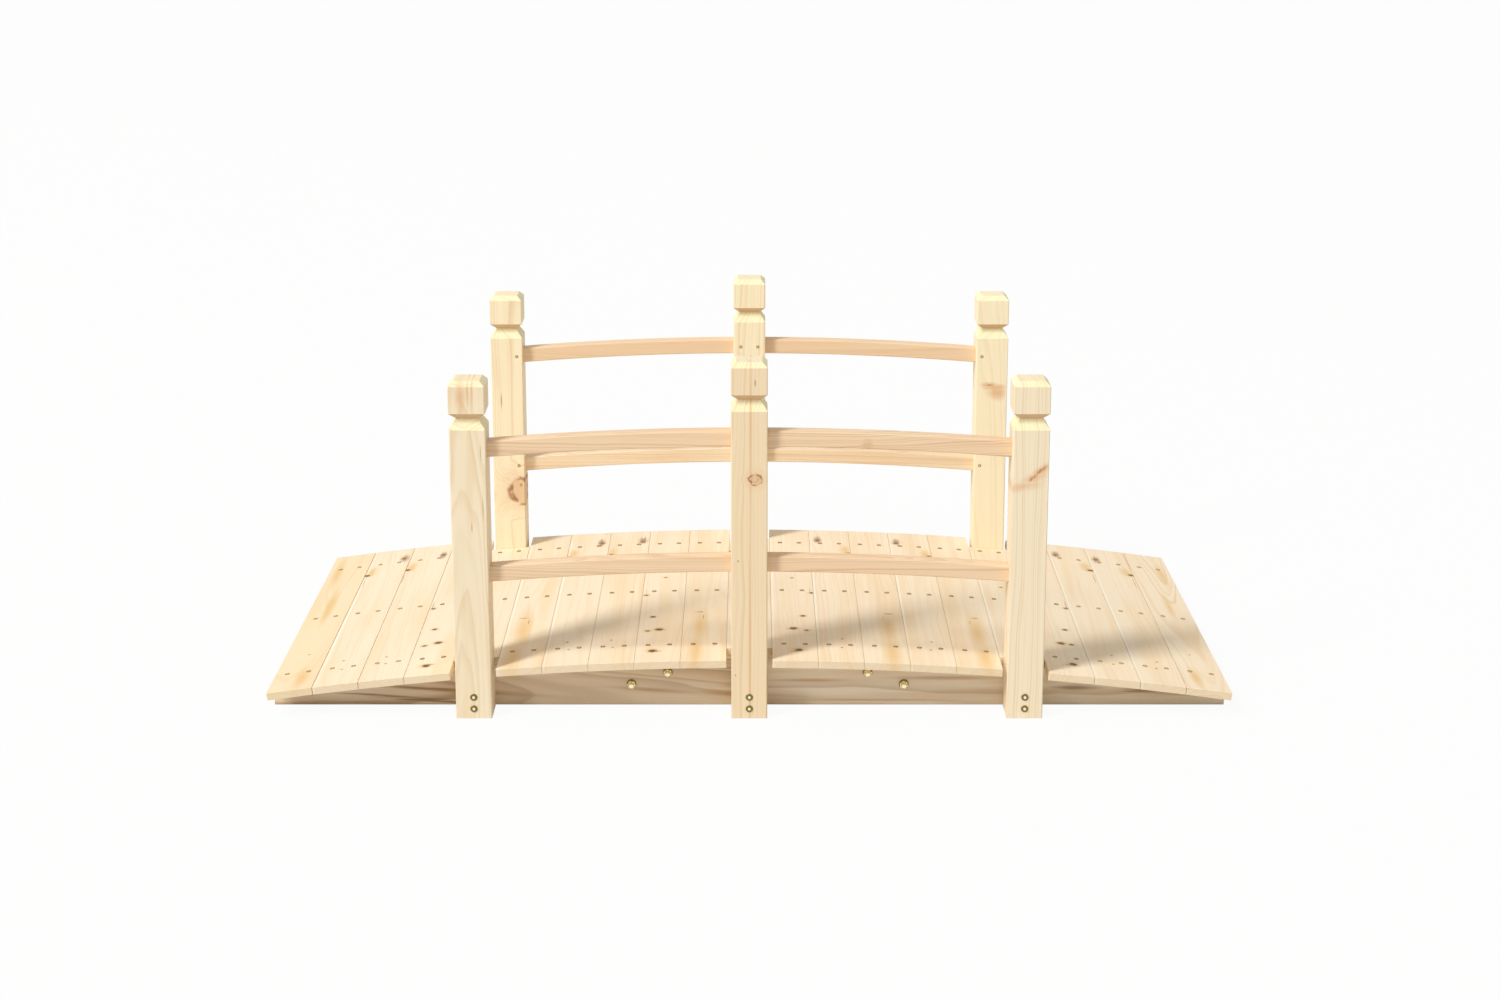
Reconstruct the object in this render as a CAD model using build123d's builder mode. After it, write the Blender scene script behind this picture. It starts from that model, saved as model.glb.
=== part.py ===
from build123d import *
import os
from math import asin, cos, sin, sqrt

# Arched timber garden bridge: three spliced stringers, a slatted deck and two post-and-rail sides.
# Frame: X runs along the span, the front side is at -Y, Z is up.
# The origin is on the ground under the middle of the deck. All lengths are in millimetres.

os.makedirs("parts", exist_ok=True)

# Deck boards, laid across the stringers
board_count = 21
board_width = 71.3
board_gap = 0.2
board_thickness = 12.0
board_edge_radius = 0.5
board_seat_clearance = 0.2
board_end_clearance = 0.5
deck_width = 670.0

# Stringers, flat below and arched above, each in two halves with a splice board behind the joint
stringer_thickness = 40.0
stringer_crown_height = 83.0
stringer_end_height = 29.0
stringer_edge_chamfer = 1.5
stringer_joint_x = 29.0
splice_length = 520.0
splice_thickness = 20.0
splice_ground_clearance = 10.0
splice_drop = 6.0

# Posts, square, with a V-shaped neck cut round below a chamfered head
post_width = 56.0
post_edge_radius = 2.0
boards_between_posts = 6
middle_neck_clearance = 34.5
end_neck_clearance = 24.0
neck_lower_height = 16.5
neck_upper_height = 9.5
neck_depth = 11.0
head_height = 42.0
head_chamfer = 8.0

# Rails, arched, housed in mortises in the posts
rail_height = 25.0
rail_thickness = 25.0
rail_edge_chamfer = 1.5
rail_arch_radius = 4900.0
rail_spacing = 175.0
lower_rail_clearance = 139.3
mortise_depth = 18.0
mortise_clearance = 0.3

# Places along the span
board_pitch = board_width + board_gap
deck_length = board_count * board_pitch
post_spacing = boards_between_posts * board_pitch
post_places = {"left": -post_spacing, "middle": 0.0, "right": post_spacing}

# Places across the span
post_y = (deck_width - post_width) / 2
stringer_y = post_y - post_width / 2 - stringer_thickness / 2
side_signs = {"front": -1, "back": 1}

# The arch that the boards lie on
arch_rise = stringer_crown_height - stringer_end_height
arch_radius = ((deck_length / 2) ** 2 + arch_rise**2) / (2 * arch_rise)

# Heights of the rails' undersides at mid-span
deck_crown_height = stringer_crown_height + board_seat_clearance + board_thickness
lower_rail_crown = deck_crown_height + lower_rail_clearance
rail_crowns = {
    "lower": lower_rail_crown,
    "upper": lower_rail_crown + rail_height + rail_spacing,
}


def arc_height(x, crown, radius):
    """Height, at x along the span, of an arc that crests at mid-span."""
    return crown - radius + sqrt(radius**2 - x**2)


def arch_height(x):
    """Height of the stringers' arched top at x along the span."""
    return arc_height(x, stringer_crown_height, arch_radius)


def save(piece, name):
    """Label a finished piece and write it to its own file."""
    piece.part.label = name
    export_step(piece.part, f"parts/{name}.step")


def arched_band(crown, x_from, x_to, margin):
    """Side view of a rail whose underside crests at the crown height, grown by a margin all round."""
    start = x_from - margin
    end = x_to + margin
    middle = (start + end) / 2
    low_radius = rail_arch_radius - margin
    high_radius = rail_arch_radius + rail_height + margin
    low_crown = crown - margin
    high_crown = crown + rail_height + margin
    low = [(x, arc_height(x, low_crown, low_radius)) for x in (start, middle, end)]
    high = [(x, arc_height(x, high_crown, high_radius)) for x in (end, middle, start)]
    with BuildSketch() as band:
        with BuildLine():
            ThreePointArc(*low)
            Line(low[-1], high[0])
            ThreePointArc(*high)
            Line(high[-1], low[0])
        make_face()
    return band.sketch


# Each bay's rails run from inside one post to inside the next.
rail_reach = post_width / 2 - mortise_depth
bays = {
    "left": (post_places["left"] + rail_reach, post_places["middle"] - rail_reach),
    "right": (post_places["middle"] + rail_reach, post_places["right"] - rail_reach),
}


def make_stringer_half(name, y, x_from, x_to):
    """One half of a stringer: flat below, arched above, square at the joint."""
    middle = (x_from + x_to) / 2
    top = [(x, arch_height(x)) for x in (x_to, middle, x_from)]
    with BuildPart() as stringer:
        with BuildSketch(Plane.XZ.offset(-y)):
            with BuildLine():
                Polyline(top[-1], (x_from, 0), (x_to, 0), top[0])
                ThreePointArc(*top)
            make_face()
        extrude(amount=stringer_thickness / 2, both=True)
        ground_edges = stringer.faces().sort_by(Axis.Z)[0].edges().filter_by(Axis.X)
        chamfer(ground_edges, stringer_edge_chamfer)
    save(stringer, name)


def make_splice_board(name, y):
    """A plain board over the joint between two stringer halves, kept below the deck."""
    farthest = abs(stringer_joint_x) + splice_length / 2
    top = arch_height(farthest) - splice_drop
    height = top - splice_ground_clearance
    with BuildPart() as splice:
        with BuildSketch(Plane.XZ.offset(-y)):
            with Locations((stringer_joint_x, splice_ground_clearance + height / 2)):
                Rectangle(splice_length, height)
        extrude(amount=splice_thickness / 2, both=True)
        chamfer(splice.edges().filter_by(Axis.X), stringer_edge_chamfer)
    save(splice, name)


def make_board(name, x):
    """A flat deck board that lies tangent to the arch, cut short where posts stand."""
    tilt = asin(x / arch_radius)
    up = Vector(sin(tilt), 0, cos(tilt))
    seat = Vector(x, 0, arch_height(x)) + up * board_seat_clearance
    bed = Plane(origin=seat, x_dir=(cos(tilt), 0, -sin(tilt)), z_dir=up)
    clear_of_posts = (board_width + post_width) / 2
    beside_a_post = any(abs(x - place) < clear_of_posts for place in post_places.values())
    short_length = deck_width - 2 * (post_width + board_end_clearance)
    length = short_length if beside_a_post else deck_width
    with BuildPart() as board:
        with BuildSketch(bed):
            Rectangle(board_width, length)
        extrude(amount=board_thickness)
        walking_face = board.faces().sort_by(Axis(bed.origin, bed.z_dir))[-1]
        fillet(walking_face.edges(), board_edge_radius)
    save(board, name)


def post_outline(height):
    """Side view of a post about its own centre line: shaft, V-shaped neck and chamfered head."""
    half = post_width / 2
    waist = half - neck_depth
    head_top = height - head_chamfer
    head_foot = head_top - head_height
    neck = head_foot - neck_upper_height
    shoulder = neck - neck_lower_height
    with BuildSketch() as outline:
        with BuildLine():
            Polyline(
                (0, 0),
                (half, 0),
                (half, shoulder),
                (waist, neck),
                (half, head_foot),
                (half, head_top),
                (half - head_chamfer, height),
                (0, height),
                close=True,
            )
        make_face()
        mirror(about=Plane.YZ)
    return outline.sketch


def make_post(name, x, y, neck_clearance):
    """A square post with its head and neck cut on all four faces and a mortise for each rail end."""
    upper_rail_top = arc_height(x, rail_crowns["upper"], rail_arch_radius) + rail_height
    shoulder = upper_rail_top + neck_clearance
    height = shoulder + neck_lower_height + neck_upper_height + head_height + head_chamfer
    outline = post_outline(height)
    housings = [
        arched_band(crown, x_from, x_to, mortise_clearance)
        for crown in rail_crowns.values()
        for x_from, x_to in bays.values()
    ]
    with BuildPart() as post:
        with BuildSketch():
            with Locations((x, y)):
                RectangleRounded(post_width, post_width, post_edge_radius)
        extrude(amount=height)
        with BuildSketch(Plane.XZ.offset(-y)):
            with Locations((x, 0)):
                add(outline)
        extrude(amount=post_width, both=True, mode=Mode.INTERSECT)
        with BuildSketch(Plane.YZ.offset(x)):
            with Locations((y, 0)):
                add(outline)
        extrude(amount=post_width, both=True, mode=Mode.INTERSECT)
        with BuildSketch(Plane.XZ.offset(-y)):
            add(housings)
        extrude(amount=rail_thickness / 2 + mortise_clearance, both=True, mode=Mode.SUBTRACT)
    save(post, name)


def make_rail(name, y, crown, x_from, x_to):
    """An arched rail with eased edges, square at the ends that sit in the mortises."""
    with BuildPart() as rail:
        with BuildSketch(Plane.XZ.offset(-y)):
            add(arched_band(crown, x_from, x_to, 0))
        extrude(amount=rail_thickness / 2, both=True)
        upper_and_lower = rail.faces().filter_by(GeomType.CYLINDER)
        long_edges = upper_and_lower.edges().filter_by(GeomType.CIRCLE)
        chamfer(long_edges, rail_edge_chamfer)
    save(rail, name)


# Three stringers, each with its joint and splice board
stringer_places = {"front": -stringer_y, "middle": 0.0, "back": stringer_y}
splice_offset = (stringer_thickness + splice_thickness) / 2
for place, y in stringer_places.items():
    make_stringer_half(f"{place}_stringer_left", y, -deck_length / 2, stringer_joint_x)
    make_stringer_half(f"{place}_stringer_right", y, stringer_joint_x, deck_length / 2)
    inward = -splice_offset if place == "back" else splice_offset
    make_splice_board(f"{place}_splice_board", y + inward)

# The deck
for number in range(board_count):
    board_x = (number - (board_count - 1) / 2) * board_pitch
    make_board(f"deck_board_{number + 1:02d}", board_x)

# The two sides: posts first, then the rails between them
for side, sign in side_signs.items():
    for place, x in post_places.items():
        clearance = middle_neck_clearance if place == "middle" else end_neck_clearance
        make_post(f"{side}_post_{place}", x, sign * post_y, clearance)
    for level, crown in rail_crowns.items():
        for bay, (x_from, x_to) in bays.items():
            make_rail(f"{side}_{level}_rail_{bay}", sign * post_y, crown, x_from, x_to)
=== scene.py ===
# %% [markdown]
# # Dressing a small arched garden bridge
# The bridge comes to us as finished solids: deck boards, stringers, splice boards, posts and rails, each at
# its real size and place. Our job is to give every surface the look of bare softwood and to add the screws,
# bolts and nuts. We never move a solid: it already sits where the carpenter put it.

# %% Load the frame
import math
import random

import bmesh
import bpy
from mathutils import Matrix, Vector


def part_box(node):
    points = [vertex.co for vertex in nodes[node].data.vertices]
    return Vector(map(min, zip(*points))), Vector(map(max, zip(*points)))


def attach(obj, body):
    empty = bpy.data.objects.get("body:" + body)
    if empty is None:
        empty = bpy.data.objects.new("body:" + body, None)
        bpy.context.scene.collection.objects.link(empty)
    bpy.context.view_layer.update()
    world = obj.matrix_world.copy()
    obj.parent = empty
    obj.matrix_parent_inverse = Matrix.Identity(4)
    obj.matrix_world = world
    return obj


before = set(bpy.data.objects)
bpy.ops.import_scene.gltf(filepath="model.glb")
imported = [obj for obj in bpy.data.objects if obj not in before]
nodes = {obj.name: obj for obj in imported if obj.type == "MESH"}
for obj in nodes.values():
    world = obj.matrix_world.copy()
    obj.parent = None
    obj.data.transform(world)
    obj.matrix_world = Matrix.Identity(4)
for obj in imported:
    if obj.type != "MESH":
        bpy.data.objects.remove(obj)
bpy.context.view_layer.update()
MM = 0.001

# %% [markdown]
# ## Helpers for every material
# Colours are easiest to pick as sRGB hex values, but shader sockets work in linear light, so one function
# turns the first into the second. Another adds a node with its settings and links in one call, which
# keeps a long node tree readable. The last two start a node group, which several materials can share, and
# a material.


# %% Colour and node helpers
def linear(srgb_hex):
    """Turn an sRGB hex colour into the linear RGBA that a shader socket takes."""
    channels = []
    for start in (1, 3, 5):
        share = int(srgb_hex[start : start + 2], 16) / 255
        channels.append(share / 12.92 if share <= 0.04045 else ((share + 0.055) / 1.055) ** 2.4)
    return channels + [1.0]


def add(tree, kind, settings=None, links=None):
    """Add a node. A setting is a property or an unlinked socket, and a link is an output or a node."""
    node = tree.nodes.new(kind)
    for name, value in (settings or {}).items():
        if isinstance(name, str) and hasattr(node, name):
            setattr(node, name, value)
        else:
            node.inputs[name].default_value = value
    for name, source in (links or {}).items():
        output = source.outputs[0] if isinstance(source, bpy.types.Node) else source
        tree.links.new(output, node.inputs[name])
    return node


print("pale fir in linear light:", [round(channel, 3) for channel in linear("#f6e2bd")])


# %% Group and material helpers
def new_group(name, inputs, outputs):
    """Start a node group with named sockets, and return it with its two end nodes."""
    group = bpy.data.node_groups.new(name, "ShaderNodeTree")
    for direction, sockets in (("INPUT", inputs), ("OUTPUT", outputs)):
        for socket, kind in sockets.items():
            group.interface.new_socket(socket, in_out=direction, socket_type="NodeSocket" + kind)
    return group, group.nodes.new("NodeGroupInput"), group.nodes.new("NodeGroupOutput")


def new_material(name, constants):
    """Start a material whose shader holds the constants, and return it with its tree and its shader."""
    material = bpy.data.materials.new(name)
    material.use_nodes = True
    shader = material.node_tree.nodes["Principled BSDF"]
    for socket, value in constants.items():
        shader.inputs[socket].default_value = value
    return material, material.node_tree, shader


# %% Kinds of node and common settings
MATH = "ShaderNodeMath"
VECTOR_MATH = "ShaderNodeVectorMath"
MAP_RANGE = "ShaderNodeMapRange"
ATTRIBUTE = "ShaderNodeAttribute"
NOISE = "ShaderNodeTexNoise"
SPLIT = "ShaderNodeSeparateXYZ"
JOIN = "ShaderNodeCombineXYZ"
MIX = "ShaderNodeMix"
OF_PIECE = {"attribute_type": "OBJECT"}
ADD = {"operation": "ADD"}
TIMES = {"operation": "MULTIPLY"}
TIMES_PLUS = {"operation": "MULTIPLY_ADD"}
MINUS = {"operation": "SUBTRACT"}
OVER = {"operation": "DIVIDE"}
LARGER = {"operation": "MAXIMUM"}
RISE = {"interpolation_type": "SMOOTHSTEP"}
FADE = {**RISE, "To Min": 1.0, "To Max": 0.0}
# A colour Mix node has hidden sockets for other data, so its sockets are named here by number.
RGBA = {"data_type": "RGBA"}
FACTOR, FIRST, SECOND, MIXED = 0, 6, 7, 2

# %% [markdown]
# ## Knots
# A knot is the foot of a branch, a cone of dense dark wood, and the grain of the trunk flows round it.
# Painted on the surface it would stop at an edge, so we measure how far each point of the wood lies from
# the branch, and a knot shows on every face that it reaches. The group gives its core, its bark-dark rim,
# the resin-stained halo, and how far the growth rings swerve.

# %% Outline of a knot
KNOT_DEPTH_SHARE = 0.35
KNOT_LENGTH_SHARE = 1.1
KNOT_LUMPS = 0.8
LEAST_MM = 0.02
branch, taken, given = new_group(
    "branch_knot",
    {"Place": "Vector", "Centre": "Vector", "Radius": "Float"},
    {"Core": "Float", "Rim": "Float", "Halo": "Float", "Swerve": "Float"},
)
place, centre, radius = [taken.outputs[name] for name in ("Place", "Centre", "Radius")]
offset = add(branch, VECTOR_MATH, MINUS, {0: place, 1: centre})
# A branch runs deep into the wood, so a knot is longest that way.
stretch = (1.0, KNOT_DEPTH_SHARE, KNOT_LENGTH_SHARE)
stretched = add(branch, VECTOR_MATH, {**TIMES, 1: stretch}, {0: offset})
# A piece without this knot has a radius of zero, and nothing can be divided by that.
safe_radius = add(branch, MATH, {**LARGER, 1: LEAST_MM * MM}, {0: radius})
in_radii = add(branch, VECTOR_MATH, OVER, {0: stretched, 1: safe_radius})
smooth_distance = add(branch, VECTOR_MATH, {"operation": "LENGTH"}, {0: in_radii})
# An outline has lumps about as large as the knot. The centre, in mm, shifts the noise, so that no two
# knots are alike.
to_mm = (1 / MM, 1 / MM, 1 / MM)
lump_place = add(branch, VECTOR_MATH, {**TIMES_PLUS, 1: to_mm}, {0: centre, 2: in_radii})
lumps = add(branch, NOISE, {"Scale": 1.1, "Detail": 2.5}, {"Vector": lump_place})
lump_push = add(branch, MATH, {**TIMES_PLUS, 1: KNOT_LUMPS, 2: -KNOT_LUMPS / 2}, {0: lumps})
distance = add(branch, MATH, ADD, {0: smooth_distance.outputs["Value"], 1: lump_push})
print("outline of a knot:", len(branch.nodes), "nodes")

# %% Bands round the knot
RIM_SPREAD = 1.7
# Bark is left in some places only. There the core draws back from the rim, and elsewhere it covers the rim.
bark = add(branch, NOISE, {"Scale": 1.3, "Detail": 1.5}, {"Vector": lump_place})
bark_push = add(branch, MATH, {**TIMES_PLUS, 1: RIM_SPREAD, 2: -RIM_SPREAD / 2}, {0: bark})
core_distance = add(branch, MATH, ADD, {0: distance, 1: bark_push})
# Each band is full up to one distance, in radii, and gone at another.
core = add(branch, MAP_RANGE, {**FADE, "From Min": 0.75, "From Max": 1.0}, {"Value": core_distance})
inside_rim = add(branch, MAP_RANGE, {**FADE, "From Min": 0.95, "From Max": 1.2}, {"Value": distance})
halo = add(branch, MAP_RANGE, {**FADE, "From Min": 0.7, "From Max": 2.6}, {"Value": distance})
rim = add(branch, MATH, {**MINUS, "use_clamp": True}, {0: inside_rim, 1: core})
swerve = add(branch, MATH, TIMES, {0: halo, 1: radius})
for socket, node in {"Core": core, "Rim": rim, "Halo": halo, "Swerve": swerve}.items():
    branch.links.new(node.outputs[0], given.inputs[socket])
print("knot group:", len(branch.nodes), "nodes")

# %% [markdown]
# ## Growth rings
# Fir grows a pale wide band each spring and a narrow brown one each summer, in tubes round the pith. A
# saw leaves lines along those tubes, and where the trunk leans, the arches that carpenters call
# cathedrals. A picture of wood can't do that on six faces at once, but a solid texture can: each piece
# keeps a pith line of its own, and the ring number is the distance to it. Here Z runs along the grain, X
# across the face that we look at, and Y into the wood.

# %% What the ring group reads
FIGURE_PARTS = ("Warm", "Late", "Fibre", "Flame", "Gleam", "Halo", "Rim", "Core", "Streak")
wood, taken, given = new_group(
    "fir_figure", {"Place": "Vector", "Ring width": "Float"}, {name: "Float" for name in FIGURE_PARTS}
)
place = taken.outputs["Place"]
axes = add(wood, SPLIT, {}, {0: place})
across, inward, along = [axes.outputs[axis] for axis in "XYZ"]
# Custom properties of the piece that wears the material.
growth = add(wood, ATTRIBUTE, {**OF_PIECE, "attribute_name": "growth"})
seed, slant, boldness, warmth = [
    add(wood, ATTRIBUTE, {**OF_PIECE, "attribute_name": name}).outputs["Fac"]
    for name in ("seed", "slant", "boldness", "warmth")
]
print("ring group reads:", len(wood.nodes), "nodes")

# %% Distance from the leaning pith
pith = add(wood, SPLIT, {}, {0: growth.outputs["Vector"]})
lean_across = add(wood, MATH, TIMES_PLUS, {0: along, 1: pith.outputs["Z"], 2: pith.outputs["X"]})
lean_inward = add(wood, MATH, TIMES_PLUS, {0: along, 1: growth.outputs["Alpha"], 2: pith.outputs["Y"]})
pith_here = add(wood, JOIN, {}, {"X": lean_across, "Y": lean_inward})
flat_place = add(wood, JOIN, {}, {"X": across, "Y": inward})
pith_distance = add(wood, VECTOR_MATH, {"operation": "DISTANCE"}, {0: flat_place, 1: pith_here})
print("pith distance:", len(wood.nodes), "nodes")

# %% Noise drawn out along the grain
# How wide a noise's blotches are across the grain and how long along it, in mm, and their detail.
BLOTCHES = {
    "wander": (70, 380, 1.0),
    "ripple": (22, 130, 1.0),
    "cloud": (26, 330, 2.0),
    # Wood fibres are finer than 0.05 mm, so they are drawn as streaks about 2 mm wide to show at all.
    "fibre": (2.2, 90, 3.0),
}
grain = {}
for name, (across_mm, along_mm, detail) in BLOTCHES.items():
    scales = (1 / (across_mm * MM), 1 / (across_mm * MM), 1 / (along_mm * MM))
    drawn_out = add(wood, VECTOR_MATH, {**TIMES, 1: scales}, {0: place})
    # The seed makes the noise different on each piece.
    blotchy = {"noise_dimensions": "4D", "Scale": 1.0, "Detail": detail, "Roughness": 0.55}
    grain[name] = add(wood, NOISE, blotchy, {"Vector": drawn_out, "W": seed})
wander, ripple, cloud, fibre = grain.values()
print("noise along the grain:", ", ".join(grain))

# %% Knots of a piece
# Each piece can hold a few knots, again as properties: a centre and a radius.
KNOT_LETTERS = "abcdef"
KNOT_JOINING = {"Core": LARGER, "Rim": LARGER, "Halo": LARGER, "Swerve": ADD}
sums = {}
for letter in KNOT_LETTERS:
    mark = add(wood, ATTRIBUTE, {**OF_PIECE, "attribute_name": "knot_" + letter})
    knot = add(
        wood,
        "ShaderNodeGroup",
        {"node_tree": branch},
        {"Place": place, "Centre": mark.outputs["Vector"], "Radius": mark.outputs["Alpha"]},
    )
    for part, joining in KNOT_JOINING.items():
        found = knot.outputs[part]
        if part in sums:
            both = add(wood, MATH, joining, {0: sums[part], 1: found})
            found = both.outputs[0]
        sums[part] = found
print("with knots:", len(wood.nodes), "nodes")

# %% [markdown]
# ### Flames, gleams and streaks
# A flame is a honey-coloured patch where the saw ran level with one summer band. A gleam is a painted
# highlight: a pale strip along a board's edge, where light would catch the arris. A streak is a dark line
# or smudge of resin. All are long soft patches, so one loop draws them from a centre, a half width and a
# half length, and a noise frays their outlines. Where a branch once pushed the grain aside, a piece has a
# slant.

# %% Patches of a piece
lean = add(wood, MATH, TIMES, {0: along, 1: slant})
upright = add(wood, MATH, MINUS, {0: across, 1: lean})
face_place = add(wood, JOIN, {}, {"X": upright, "Y": along})
PATCH_LETTERS = "abc"
PATCHES = {
    "Flame": {"noise": cloud, "fray": 1.6, "full": 0.75, "gone": 2.0},
    # A gleam is a painted highlight.
    "Gleam": {"noise": fibre, "fray": 0.8, "full": 0.6, "gone": 1.7},
    "Streak": {"noise": fibre, "fray": 1.6, "full": 0.9, "gone": 1.7},
}
least_span = (LEAST_MM * MM, LEAST_MM * MM, 1.0)
for part, habit in PATCHES.items():
    for letter in PATCH_LETTERS:
        name = f"{part.lower()}_{letter}"
        mark = add(wood, ATTRIBUTE, {**OF_PIECE, "attribute_name": name})
        held = add(wood, SPLIT, {}, {0: mark.outputs["Vector"]})
        centre = add(wood, JOIN, {}, {"X": held.outputs["X"], "Y": held.outputs["Y"]})
        span = add(wood, JOIN, {}, {"X": held.outputs["Z"], "Y": mark.outputs["Alpha"]})
        safe_span = add(wood, VECTOR_MATH, {**LARGER, 1: least_span}, {0: span})
        away = add(wood, VECTOR_MATH, MINUS, {0: face_place, 1: centre})
        in_spans = add(wood, VECTOR_MATH, OVER, {0: away, 1: safe_span})
        reach = add(wood, VECTOR_MATH, {"operation": "LENGTH"}, {0: in_spans})
        frayed = add(
            wood, MATH, {**TIMES_PLUS, 1: habit["fray"]}, {0: habit["noise"], 2: reach.outputs["Value"]}
        )
        bounds = {"From Min": habit["full"], "From Max": habit["gone"]}
        patch = add(wood, MAP_RANGE, {**FADE, **bounds}, {"Value": frayed})
        if part in sums:
            patch = add(wood, MATH, LARGER, {0: sums[part], 1: patch})
        sums[part] = patch.outputs[0]
print("with patches:", len(wood.nodes), "nodes")

# %% Ring number
WANDER_REACH_MM = 22
RIPPLE_REACH_MM = 9
WEATHER_PACE = 0.45
UNEVEN_RINGS = 1.7
wander_push = add(
    wood, MATH, {**TIMES_PLUS, 1: WANDER_REACH_MM * MM}, {0: wander, 2: pith_distance.outputs["Value"]}
)
ripple_push = add(wood, MATH, {**TIMES_PLUS, 1: RIPPLE_REACH_MM * MM}, {0: ripple, 2: wander_push})
bent_distance = add(wood, MATH, ADD, {0: ripple_push, 1: sums["Swerve"]})
even_rings = add(wood, MATH, OVER, {0: bent_distance, 1: taken.outputs["Ring width"]})
# Dry years grow thin rings and wet years thick ones, in spells of about two years.
ring_clock = add(wood, MATH, {**TIMES_PLUS, 1: WEATHER_PACE}, {0: even_rings, 2: seed})
weather = add(wood, NOISE, {"noise_dimensions": "1D", "Scale": 1.0, "Detail": 1.0}, {"W": ring_clock})
ring_number = add(wood, MATH, {**TIMES_PLUS, 1: UNEVEN_RINGS}, {0: weather, 2: even_rings})
print("with rings:", len(wood.nodes), "nodes")

# %% Summer bands and warm clouds
YEAR_STEP = 0.73
# The band darkens slowly through summer and stops sharply in autumn.
through_year = add(wood, MATH, {"operation": "FRACT"}, {0: ring_number})
summer = add(wood, MAP_RANGE, {**RISE, "From Min": 0.25, "From Max": 0.85}, {"Value": through_year})
autumn = add(wood, MAP_RANGE, {**FADE, "From Min": 0.88, "From Max": 1.0}, {"Value": through_year})
band = add(wood, MATH, TIMES, {0: summer, 1: autumn})
# Some summers leave a strong band and some a faint one.
year = add(wood, MATH, {"operation": "FLOOR"}, {0: ring_number})
year_clock = add(wood, MATH, {**TIMES_PLUS, 1: YEAR_STEP}, {0: year, 2: seed})
year_chance = add(wood, "ShaderNodeTexWhiteNoise", {"noise_dimensions": "1D"}, {"W": year_clock})
year_strength = add(wood, MAP_RANGE, {"To Min": 0.05, "To Max": 1.0}, {"Value": year_chance})
late = add(wood, MATH, TIMES, {0: band, 1: year_strength})
# A piece can show its rings more boldly than the rest of its stock.
bold_late = add(wood, MATH, TIMES, {0: late, 1: boldness})
# Clouds of warmer wood run along the grain, on some pieces more than others.
clouds = add(wood, MATH, ADD, {0: cloud, 1: warmth})
warm = add(wood, MAP_RANGE, {**RISE, "From Min": 0.4, "From Max": 0.68}, {"Value": clouds})
sums["Warm"] = warm.outputs[0]
sums["Late"] = bold_late.outputs[0]
sums["Fibre"] = fibre.outputs["Fac"]
for part in FIGURE_PARTS:
    wood.links.new(sums[part], given.inputs[part])
print("figure group:", len(wood.nodes), "nodes")

# %% [markdown]
# ## Sawn and planed fir
# All the timber is untreated fir, sawn, planed and left bare: matt with a faint silky gloss, cream where
# it grew in spring and honey where it grew in summer. One function makes the material, and we call it
# four times because boards, posts, rails and stringers came from different stock, each with its own run
# of grain, ring width and shade.


# %% Grain of a piece
def grain_figure(tree, texture, grain_order, ring_mm):
    """The figure at a point. The order says which world axes run across, into and along the grain."""
    # The nodes sit at the origin, so object coordinates are places in metres on the whole bridge.
    middle = add(tree, ATTRIBUTE, {**OF_PIECE, "attribute_name": "middle"})
    local = add(tree, VECTOR_MATH, MINUS, {0: texture.outputs["Object"], 1: middle.outputs["Vector"]})
    parts = add(tree, SPLIT, {}, {0: local})
    order = {slot: parts.outputs[axis] for slot, axis in enumerate(grain_order)}
    turned = add(tree, JOIN, {}, order)
    rings = {"node_tree": wood, "Ring width": ring_mm * MM}
    return add(tree, "ShaderNodeGroup", rings, {"Place": turned})


# %% [markdown]
# ### Cut ends
# Where the saw crosses the grain it opens the fibres, which drink the light, so a board's end looks
# duller than its face. A bevel that looks up is painted paler, a painted highlight where it would catch
# the light, and one that looks down is painted darker, a painted shade. Rather than pick faces, we read
# the surface normal: it looks along the grain on an end, and halfway on a bevel.


# %% Bevels and ends
def cut_faces(tree, texture, grain_order):
    """How much a point lies on a painted-highlight bevel, on a painted-shade bevel, and on a sawn end."""
    normal = add(tree, SPLIT, {}, {0: texture.outputs["Normal"]})
    forward = normal.outputs[grain_order[2]]
    backward = add(tree, MATH, {**TIMES, 1: -1.0}, {0: forward})
    facing_ends = add(tree, MATH, {"operation": "ABSOLUTE"}, {0: forward})
    # How far the normal has to turn along the grain, from 0 on a face to 1 on an end.
    sloping = {**RISE, "From Min": 0.3, "From Max": 0.5}
    square = {**RISE, "From Min": 0.86, "From Max": 0.96}
    end = add(tree, MAP_RANGE, square, {"Value": facing_ends})
    cuts = {"End": end.outputs[0]}
    # Painted light: a bevel turned forward along the grain gets a painted highlight, and one turned back
    # gets a painted shade.
    for cut, component in (("Bevel", forward), ("Underside shade", backward)):
        turned = add(tree, MAP_RANGE, sloping, {"Value": component})
        painted_slope_light = add(tree, MATH, {**MINUS, "use_clamp": True}, {0: turned, 1: end})
        cuts[cut] = painted_slope_light.outputs[0]
    return cuts


# %% Planed surface
LATE_RIDGE = 0.6


def planed_surface(tree, shader, figure):
    """A matt face with a faint silky gloss. The summer bands stand a little proud of the spring wood."""
    # Summer wood is denser and polishes more under the plane.
    gloss = add(tree, MAP_RANGE, {"To Min": 0.66, "To Max": 0.5}, {"Value": figure.outputs["Late"]})
    tree.links.new(gloss.outputs[0], shader.inputs["Roughness"])
    ridge = add(
        tree, MATH, {**TIMES_PLUS, 1: LATE_RIDGE}, {0: figure.outputs["Late"], 2: figure.outputs["Fibre"]}
    )
    bump = add(tree, "ShaderNodeBump", {"Strength": 0.3, "Distance": 0.2 * MM}, {"Height": ridge})
    tree.links.new(bump.outputs[0], shader.inputs["Normal"])


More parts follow.
